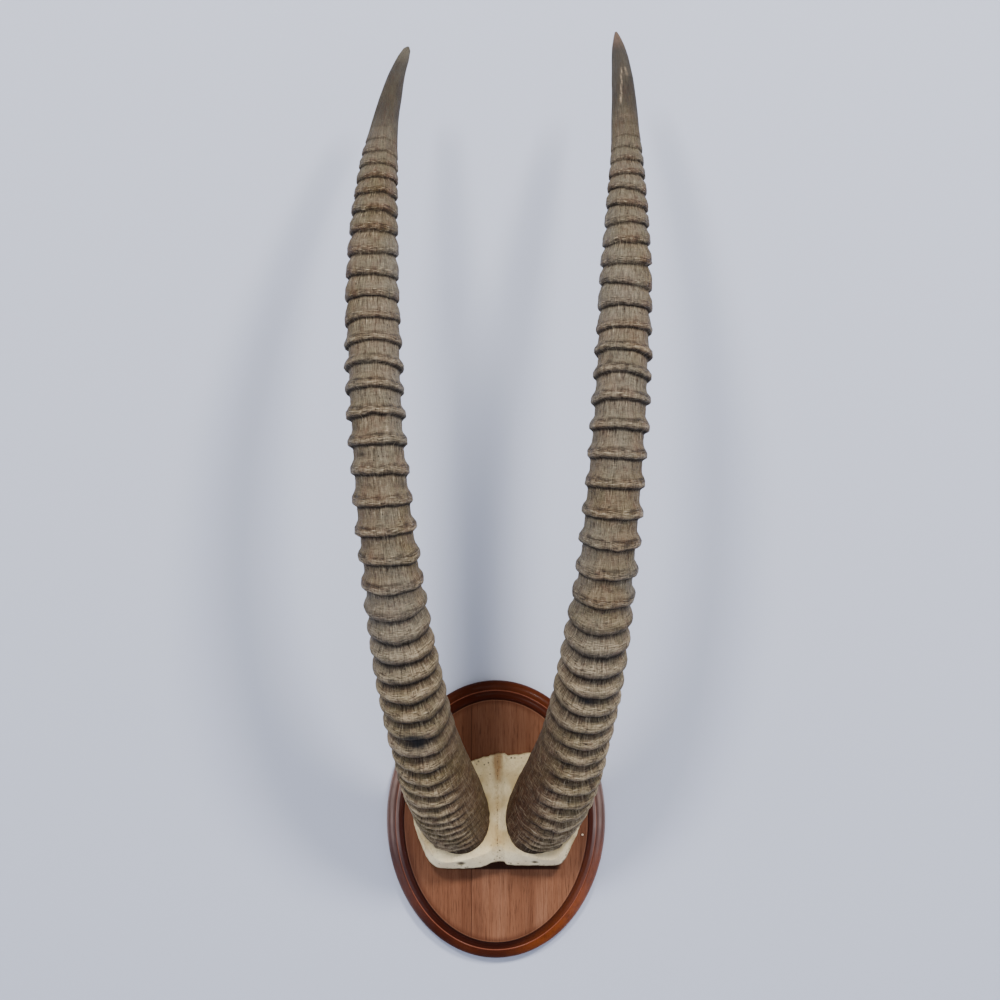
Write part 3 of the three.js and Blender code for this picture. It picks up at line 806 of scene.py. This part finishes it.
def makeSkullPlate(material):
    s = plateShape
    sides, rows, edgeRows = s["sides"], s["rows"], s["edgeRows"]
    tube = unitTube(sides, rows)
    angle, height = tubePlaces(tube)
    outline = closedCurve(s["outline"], sides)
    number = np.round(angle / (2 * math.pi) * sides).astype(int) % sides
    edge = outline[number]
    row = np.round(height * rows)
    centre = np.array(s["centre"])
    reach = np.linalg.norm(edge - centre, axis=1)
    share = np.where(row <= edgeRows, 1, 1 - (row - edgeRows) / (rows - edgeRows))
    share = np.where(row <= edgeRows, 1, 1 - (1 - share) ** 1.25)
    ragged = noiseAt(edge[:, 0] / 5, edge[:, 1] / 5, np.zeros(len(edge)), 3)
    top = smoothStep(30, 60, edge[:, 1])
    stretch = share * (1 + (0.4 + 0.8 * top) * ragged * share ** 8 / reach)
    place = centre + (edge - centre) * stretch[:, None]
    x, z = place.T
    endwise = ((edge[:, 1] - centre[1]) / reach) ** 2
    run = s["slopeSide"] + (s["slopeEnd"] - s["slopeSide"]) * endwise
    climb = np.minimum((1 - share) * reach / run, 1)
    rise = 0.75 * climb + 0.25 * np.sin(climb * math.pi / 2)
    brow = smoothStep(*s["browRise"], edge[:, 1])
    rim = s["rim"] + s["browExtra"] * brow + 0.4 * ragged
    ridgeX, ridgeHeight, ridgeWidth = s["ridge"]
    ridge = ridgeHeight * (1 - smoothStep(0, ridgeWidth, np.abs(x - ridgeX)))
    depth = rim + (seatDepth(x, z) - seatShape["gap"] + ridge - rim) * rise
    bareX, bareHalf, bareBelow, bareAbove = s["bare"]
    bare = (np.abs(x - bareX) < bareHalf) | (z < bareBelow) | (z > bareAbove)
    depth += np.where(bare, 1, 0.2) * (0.35 * noiseAt(x / 6, z / 6, depth * 0, 3) - 0.15) * rise
    wall = np.clip(row / edgeRows, 0, 1)
    depth = np.where(row < edgeRows, s["back"] + (rim - s["back"]) * wall, depth)
    holeMask = np.zeros(len(x))
    for holeX, holeZ, halfWide, halfTall, sunk in s["holes"]:
        dent = np.exp(-(((x - holeX) / halfWide) ** 2 + ((z - holeZ) / halfTall) ** 2) ** 2)
        depth -= sunk * dent
        holeMask = np.maximum(holeMask, dent)
    moveTo(tube, x, depth, z)
    fromEdge = (1 - share) * reach
    # the edge mask, strongest along the brow, is painted dark in the material as painted shade along the
    # bone's edge
    sawn = (1 - smoothStep(0.3, 1.3, fromEdge)) * (0.25 + 0.75 * brow)
    margin = 1 - smoothStep(2, 12, fromEdge)
    addMarks(tube, "boneMarks", np.stack([sawn, holeMask, margin], 1))
    closePole(tube, height)
    return makePiece("skullPlateBone", tube, material, ["skull_plate"])


boneLook = {
    "bone": (196, 169, 116), "pale": (232, 213, 164), "chalk": (238, 224, 188), "brown": (130, 88, 38),
    "dirt": (34, 22, 12),
    # places on the bone in metres: the ridge's x, and where each zone starts and ends
    "ridgeX": 0.0015, "ridge": (0.0075, 0.001), "suture": (0.0007, 0.0002),
    "crown": (0.03, 0.066), "lowPart": (-0.018, -0.036),
}


def boneMaterial():
    look = boneLook
    material, tree, surface = newMaterial("skullBone")
    paint, times, plus, without, eitherSide = shortForms(tree, look)
    place = tree.nodes.new("ShaderNodeTexCoord").outputs["Object"]
    x, _, z = splitVector(tree, place)
    patches = useGroup(tree, mottle, place, Scale=45).outputs
    pores = useGroup(tree, specks, place, Scale=520, Size=0.32, Amount=0.5).outputs["Mask"]
    flecks = useGroup(tree, specks, place, Scale=170, Size=0.26, Amount=0.8).outputs["Mask"]
    soil = useGroup(tree, specks, place, Scale=280, Size=0.5, Amount=0.6).outputs["Mask"]
    edge, hole, margin = splitMarks(tree, "boneMarks")
    grain = useGroup(tree, fibres, place, Scale=700, Along=0.25).outputs

    colour = paint(patches["Patch"], linear(*look["bone"]), "pale")
    crown = addRange(tree, z, *look["crown"])
    fromRidge = eitherSide(x, look["ridgeX"])
    ridgeNear = addRange(tree, fromRidge, *look["ridge"])
    colour = paint(times(crown, 0.6), colour, "pale")
    # painted highlight: the lower part of the bone, the brow, is painted whiter where it catches the light
    colour = paint(addRange(tree, z, *look["lowPart"], 0, 0.5), colour, "chalk")
    tint = plus(times(crown, ridgeNear), times(ridgeNear, 0.25), True)
    colour = paint(times(tint, 0.78), colour, "brown")
    stain = plus(times(crown, 0.3), times(ridgeNear, 0.4))
    colour = paint(times(stain, patches["Blotch"]), colour, "brown")
    # a thin seam between the two halves of the brow, filled with dirt here and there
    suture = times(addRange(tree, fromRidge, *look["suture"]), addRange(tree, grain["Height"], 0.5, 0.4))
    colour = paint(times(suture, 0.8), colour, "dirt")
    colour = paint(times(grain["Dark"], 0.22), colour, "brown")
    colour = paint(times(pores, 0.5), colour, "brown")
    often = plus(plus(0.3, times(crown, 0.7)), times(ridgeNear, 0.6), True)
    colour = paint(times(flecks, often), colour, "dirt")
    colour = paint(times(soil, margin, 0.7), colour, "dirt")
    # painted shade: a dark line along the bone's edge, strongest along the brow, standing in for the shadow
    # at the edge
    colour = paint(times(edge, 0.7), colour, "dirt")
    # painted shade: the vessel holes are painted dark for the shade inside them, with dirt
    colour = paint(times(hole, 0.9), colour, "dirt")
    tree.links.new(colour, surface.inputs["Base Color"])
    surface.inputs["Roughness"].default_value = 0.62
    surface.inputs["Specular IOR Level"].default_value = 0.35
    relief = addBump(tree, grain["Height"], 0.25, 0.0005)
    relief = addBump(tree, without(pores), 0.5, 0.0004, relief)
    tree.links.new(relief, surface.inputs["Normal"])
    return material


# plaque

plaqueShape = {
    "halfWide": 110, "halfTall": 139.5, "thick": 20,
    "edge": 5, "bead": 9, "beadTop": 12, "quirk": 1, "quirkDeep": 0.35, "cove": 8, "coveSweep": 1.2,
    "faceRows": (22, 30, 45, 65, 85),  # insets of the rows of points on the flat face
    "sides": 288,
    "recess": (64, 15, 3.4, 96),  # width, height, depth and z of the recess for the hanger
    "recessCorner": 3,
    "screws": [(-24, 8), (30, 8), (4, 48)],
    "screwHead": 4.95, "screwShank": 2.55, "screwSink": 1.2, "screwTaper": 2.95, "screwSides": 40,
    "past": 2,  # how far a cut goes past the wood
}


def mouldingProfile():  # (inset, depth) from the wall to the flat face
    s = plaqueShape
    bead, top, thick = s["bead"], s["beadTop"], s["thick"]
    profile = [(0.6, 0), (0.2, 0.15), (0, 0.6)]
    for t in np.linspace(0, math.pi / 2, 16):
        profile.append((bead * (1 - math.cos(t)), s["edge"] + (top - s["edge"]) * math.sin(t)))
    start = bead + s["quirk"]
    profile += [(bead + 0.25, top - s["quirkDeep"]), (start - 0.25, top - s["quirkDeep"])]
    for t in np.linspace(0, s["coveSweep"], 14):
        profile.append((start + s["cove"] * math.sin(t), top + s["cove"] * (1 - math.cos(t))))
    last = start + s["cove"]
    profile += [(last - 0.25, thick - 1.6), (last - 0.1, thick - 0.5), (last + 0.15, thick - 0.12),
                (last + 0.6, thick)]
    profile += [(inset, thick) for inset in s["faceRows"]]
    return np.array(profile)


def makePlaque(material):
    s = plaqueShape
    profile = mouldingProfile()
    tube = unitTube(s["sides"], len(profile) - 1)
    angle, height = tubePlaces(tube)
    row = np.round(height * (len(profile) - 1)).astype(int)
    inset, depth = profile[row].T
    x, z = np.cos(angle), np.sin(angle)
    normal = np.stack([s["halfTall"] * x, s["halfWide"] * z], 1)
    normal /= np.linalg.norm(normal, axis=1, keepdims=True)
    moveTo(tube, s["halfWide"] * x - inset * normal[:, 0], depth, s["halfTall"] * z - inset * normal[:, 1])
    addMarks(tube, "inset", inset)
    piece = makePiece("plaqueBoard", tube, material, ["plaque"])
    cutHoles(piece)
    return piece


def recessCutter():
    wide, tall, deep, z = plaqueShape["recess"]
    cutter = bmesh.new()
    bmesh.ops.create_cube(cutter, size=1)
    bmesh.ops.scale(cutter, verts=cutter.verts, vec=(wide * mm, 2 * deep * mm, tall * mm))
    bmesh.ops.translate(cutter, verts=cutter.verts, vec=(0, 0, z * mm))
    upright = [edge for edge in cutter.edges if abs(edge.verts[0].co.y - edge.verts[1].co.y) > deep * mm]
    bmesh.ops.bevel(cutter, geom=upright, offset=plaqueShape["recessCorner"] * mm, segments=6, profile=0.5,
                    affect="EDGES", material=-1)
    return cutter


def screwCutter(x, z):  # head hole, countersink and shank hole as one stepped solid
    s = plaqueShape
    steps = np.array([(s["screwHead"], -s["past"]), (s["screwHead"], s["screwSink"]),
                      (s["screwShank"], s["screwSink"] + s["screwTaper"]),
                      (s["screwShank"], s["thick"] + s["past"])])
    cutter = unitTube(s["screwSides"], len(steps) - 1)
    angle, height = tubePlaces(cutter)
    radius, depth = steps[np.round(height * (len(steps) - 1)).astype(int)].T
    moveTo(cutter, x + radius * np.cos(angle), depth, z + radius * np.sin(angle))
    return cutter


def cutHoles(piece):
    cutters = recessCutter()
    for x, z in plaqueShape["screws"]:
        hole = takeMesh("screwHole", screwCutter(x, z))
        cutters.from_mesh(hole)
        bpy.data.meshes.remove(hole)
    bmesh.ops.recalc_face_normals(cutters, faces=cutters.faces)
    tool = addObject("cutters", takeMesh("cutters", cutters))
    cut = piece.modifiers.new("holes", "BOOLEAN")
    cut.operation = "DIFFERENCE"
    cut.solver = "EXACT"
    cut.object = tool
    keepResult(piece)
    bpy.data.objects.remove(tool)


def keepResult(piece):  # the modifiers' result becomes the piece's own mesh
    graph = bpy.context.evaluated_depsgraph_get()
    result = bpy.data.meshes.new_from_object(piece.evaluated_get(graph))
    piece.modifiers.clear()
    piece.data = result


walnutLook = {
    "mid": (123, 81, 58), "dark": (82, 46, 30), "light": (151, 109, 84), "pore": (38, 18, 11),
    "raw": (158, 118, 82), "bloom": (168, 146, 136), "chipped": (212, 188, 160),
    "bead": (54, 19, 7), "quirk": (142, 82, 60), "cove": (54, 17, 5), "step": (30, 10, 4),
    "orange": (116, 56, 22),
    # places on the face in metres: centres, and where each zone starts and ends
    "seamX": -0.0245, "seam": (0.0007, 0.0001), "boardEnd": 0.0005, "shaded": (0.03, 0.09),
    "dings": [(0.0865, -0.0137), (0.0925, -0.047)], "dingRim": (0.0024, 0.0015), "ding": (0.0014, 0.0007),
    "shadowX": 0.006, "shadowHalf": (0.062, 0.052), "shadowLow": (-0.0492, -0.0474), "shadowHigh": (0.02, 0),
    "unshadedRight": (0.02, 0.07), "wornAim": (0.8, -0.6), "worn": (0.08, 0.114),
    "flankZ": 0.015, "flank": (0.065, 0.015), "glossy": (0.055, 0.1),
    "holeDepth": (-0.0196, -0.0192), "back": (-0.0006, -0.0002),
    "holesWithin": (0.818, 0.808),  # a share of the plaque's oval
    # the same across the border, as insets in millimetres
    "corner": (25, 18.6), "arrisStart": (18, 18.3), "arrisEnd": (19.2, 18.7), "stained": (18.6, 18.1),
    "stepStart": (15.2, 17.6), "lacquered": (13.3, 12.3), "quirkEnd": (10.1, 9.6), "beadEnd": (9.1, 8.6),
}


def addFigure(tree, look, place, z, clouds, grain, pores):  # the wood of the whole board
    paint, times, _, _, _ = shortForms(tree, look)
    strips = addMapping(tree, place, scale=(1, 0.4, 0.035), shift=(0.31, 0, 0))
    bands = addRange(tree, addNoise(tree, strips, 42, 2.0, 0.5), 0.34, 0.58, 0.4, 1)
    figure = addNoise(tree, addMapping(tree, place, scale=(1, 1, 0.12)), 26, 3.0, 0.6)
    colour = paint(bands, linear(*look["dark"]), "mid")
    colour = paint(times(clouds["Patch"], 0.35), colour, "mid")
    colour = paint(addRange(tree, figure, 0.48, 0.75, 0, 0.6), colour, "light")
    colour = paint(times(grain["Dark"], 0.45), colour, "dark")
    colour = paint(times(grain["Light"], 0.25), colour, "light")
    colour = paint(times(pores["Dark"], 0.4), colour, "pore")
    return paint(addRange(tree, z, *look["shaded"], 0, 0.4), colour, "dark"), bands


def addWear(tree, look, place, x, z, colour):  # a painted shadow under the bone, the seam between two boards, and dents
    paint, times, _, _, eitherSide = shortForms(tree, look)
    # a painted shadow: a dark line on the wood just under the bone's lower edge, which also fills the notch
    # in the bone
    below = times(addRange(tree, z, *look["shadowLow"]), addRange(tree, z, *look["shadowHigh"]))
    underBone = times(below, addRange(tree, eitherSide(x, look["shadowX"]), *look["shadowHalf"]))
    colour = paint(times(underBone, 0.9), colour, "step")
    # the board is glued up: one seam shows below the bone, and the wood left of it is darker
    fromSeam = eitherSide(x, look["seamX"])
    colour = paint(times(addRange(tree, fromSeam, *look["seam"]), 0.7), colour, "pore")
    for dingX, dingZ in look["dings"]:
        away = addMeasure(tree, "DISTANCE", place, (dingX, -plaqueShape["thick"] * mm, dingZ))
        colour = paint(addRange(tree, away, *look["dingRim"], 0, 0.6), colour, "pore")
        colour = paint(addRange(tree, away, *look["ding"]), colour, "chipped")
    leftBoard = addRange(tree, x, look["seamX"] + look["boardEnd"], look["seamX"] - look["boardEnd"])
    return paint(times(leftBoard, 0.22), colour, "dark")


def addBorder(tree, look, inset, x, z, clouds, colour):
    paint, times, plus, without, eitherSide = shortForms(tree, look)
    # painted shade lies along the border at the left and below, and a painted highlight runs along the face's
    # arris
    unshadedRight = addRange(tree, x, *look["unshadedRight"])
    corner = times(addRange(tree, inset, *look["corner"], 0, 0.8), without(unshadedRight))
    colour = paint(corner, colour, "dark")
    arris = times(addRange(tree, inset, *look["arrisStart"]), addRange(tree, inset, *look["arrisEnd"]))
    colour = paint(times(arris, 0.35), colour, "light")
    # the border is stained darker, and the stain is worn to orange at the lower right
    aimX, aimZ = look["wornAim"]
    worn = addRange(tree, plus(times(x, aimX), times(z, aimZ)), *look["worn"])
    stained = addRange(tree, inset, *look["stained"])
    colour = paint(times(stained, 0.96), colour, "cove")
    # painted shade: darkest in the crease where the cove meets the flat face
    colour = paint(times(addRange(tree, inset, *look["stepStart"], 0, 0.6), stained), colour, "step")
    colour = paint(times(stained, worn, 0.4), colour, "orange")
    # painted highlight: a thin light line along the quirk between the bead and the cove
    colour = paint(addRange(tree, inset, *look["quirkEnd"], 0, 0.7), colour, "quirk")
    onBead = addRange(tree, inset, *look["beadEnd"])
    colour = paint(times(onBead, 0.96), colour, "bead")
    patchy = plus(times(worn, 0.75), times(clouds["Patch"], 0.2))
    colour = paint(times(onBead, patchy), colour, "orange")
    colour = paint(times(onBead, clouds["Blotch"], 0.4), colour, "cove")
    # a painted sheen in lines along both flanks of the border, standing in for reflections in the lacquer
    lacquered = addRange(tree, inset, *look["lacquered"])
    paintedSheen = times(addRange(tree, eitherSide(z, look["flankZ"]), *look["flank"]), lacquered)
    lines = addMath(tree, "SINE", times(addMath(tree, "SUBTRACT", inset, 4.2), 1.2), None)
    paintedSheen = times(paintedSheen, addRange(tree, lines, -0.8, 0.9, 0.35, 1.25))
    paintedSheen = times(paintedSheen, addRange(tree, clouds["Patch"], -0.2, 0.9, 0.2, 0.4))
    return paint(paintedSheen, colour, "bloom"), lacquered


def bareWoodMask(tree, look, place, y):  # the back, the holes and the recess
    s = plaqueShape
    across = (1 / (s["halfWide"] * mm), 0, 1 / (s["halfTall"] * mm))
    fromCentre = addMeasure(tree, "LENGTH", addMapping(tree, place, scale=across))
    inside = addRange(tree, fromCentre, *look["holesWithin"])
    inside = addMath(tree, "MULTIPLY", inside, addRange(tree, y, *look["holeDepth"]))
    return addMath(tree, "MAXIMUM", inside, addRange(tree, y, *look["back"]))


def walnutMaterial():
    look = walnutLook
    material, tree, surface = newMaterial("lacqueredWalnut")
    paint, times, _, without, eitherSide = shortForms(tree, look)
    place = tree.nodes.new("ShaderNodeTexCoord").outputs["Object"]
    x, y, z = splitVector(tree, place)
    inset = addAttribute(tree, "inset")
    grain = useGroup(tree, fibres, place, Scale=420, Along=0.02).outputs
    pores = useGroup(tree, fibres, place, Scale=1300, Along=0.03).outputs
    clouds = useGroup(tree, mottle, place, Scale=20).outputs

    colour, bands = addFigure(tree, look, place, z, clouds, grain, pores)
    colour = addWear(tree, look, place, x, z, colour)
    colour, lacquered = addBorder(tree, look, inset, x, z, clouds, colour)
    colour = paint(times(pores["Dark"], 0.35), colour, "pore")
    rawColour = paint(times(grain["Dark"], 0.35), linear(*look["raw"]), "dark")
    rawColour = paint(times(bands, 0.3), rawColour, "light")
    bareWood = bareWoodMask(tree, look, place, y)
    colour = addMix(tree, bareWood, colour, rawColour)
    tree.links.new(colour, surface.inputs["Base Color"])
    tree.links.new(addRange(tree, bareWood, 0, 1, 0.36, 0.7), surface.inputs["Roughness"])
    surface.inputs["Specular IOR Level"].default_value = 0.04
    # the lacquer is thickest on the two flanks of the bead
    aside = addRange(tree, eitherSide(x), *look["glossy"], 0.02, 0.75)
    coat = times(aside, addRange(tree, lacquered, 0, 1, 0.2, 1), without(bareWood))
    tree.links.new(coat, surface.inputs["Coat Weight"])
    surface.inputs["Coat Roughness"].default_value = 0.12
    tree.links.new(addBump(tree, pores["Height"], 0.12, 0.0003), surface.inputs["Normal"])
    return material


# steel fittings on the back

steelLook = {"bright": (176, 176, 172), "dull": (120, 119, 114)}


def steelMaterial():
    material, tree, surface = newMaterial("zincPlatedSteel")
    place = tree.nodes.new("ShaderNodeTexCoord").outputs["Object"]
    spots = useGroup(tree, mottle, place, Scale=160).outputs["Blotch"]
    brushed = useGroup(tree, fibres, place, Scale=1600, Along=0.1).outputs["Height"]
    colour = addMix(tree, spots, linear(*steelLook["bright"]), linear(*steelLook["dull"]))
    tree.links.new(colour, surface.inputs["Base Color"])
    tree.links.new(addRange(tree, brushed, 0.3, 0.7, 0.28, 0.45), surface.inputs["Roughness"])
    surface.inputs["Metallic"].default_value = 1
    tree.links.new(addBump(tree, brushed, 0.15, 0.0002), surface.inputs["Normal"])
    return material


def dressFittings():
    steel = steelMaterial()
    for name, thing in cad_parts.items():
        if name.startswith(("skull_screw", "sawtooth", "hanger_nail")):
            thing.data.materials.clear()
            thing.data.materials.append(steel)


addCamera()
addLights()
addStage()
print("stage ready")
makePlaque(walnutMaterial())
makeSkullPlate(boneMaterial())
for hornName in hornSides:
    makeHorn(hornName, hornMaterial(hornName))
dressFittings()
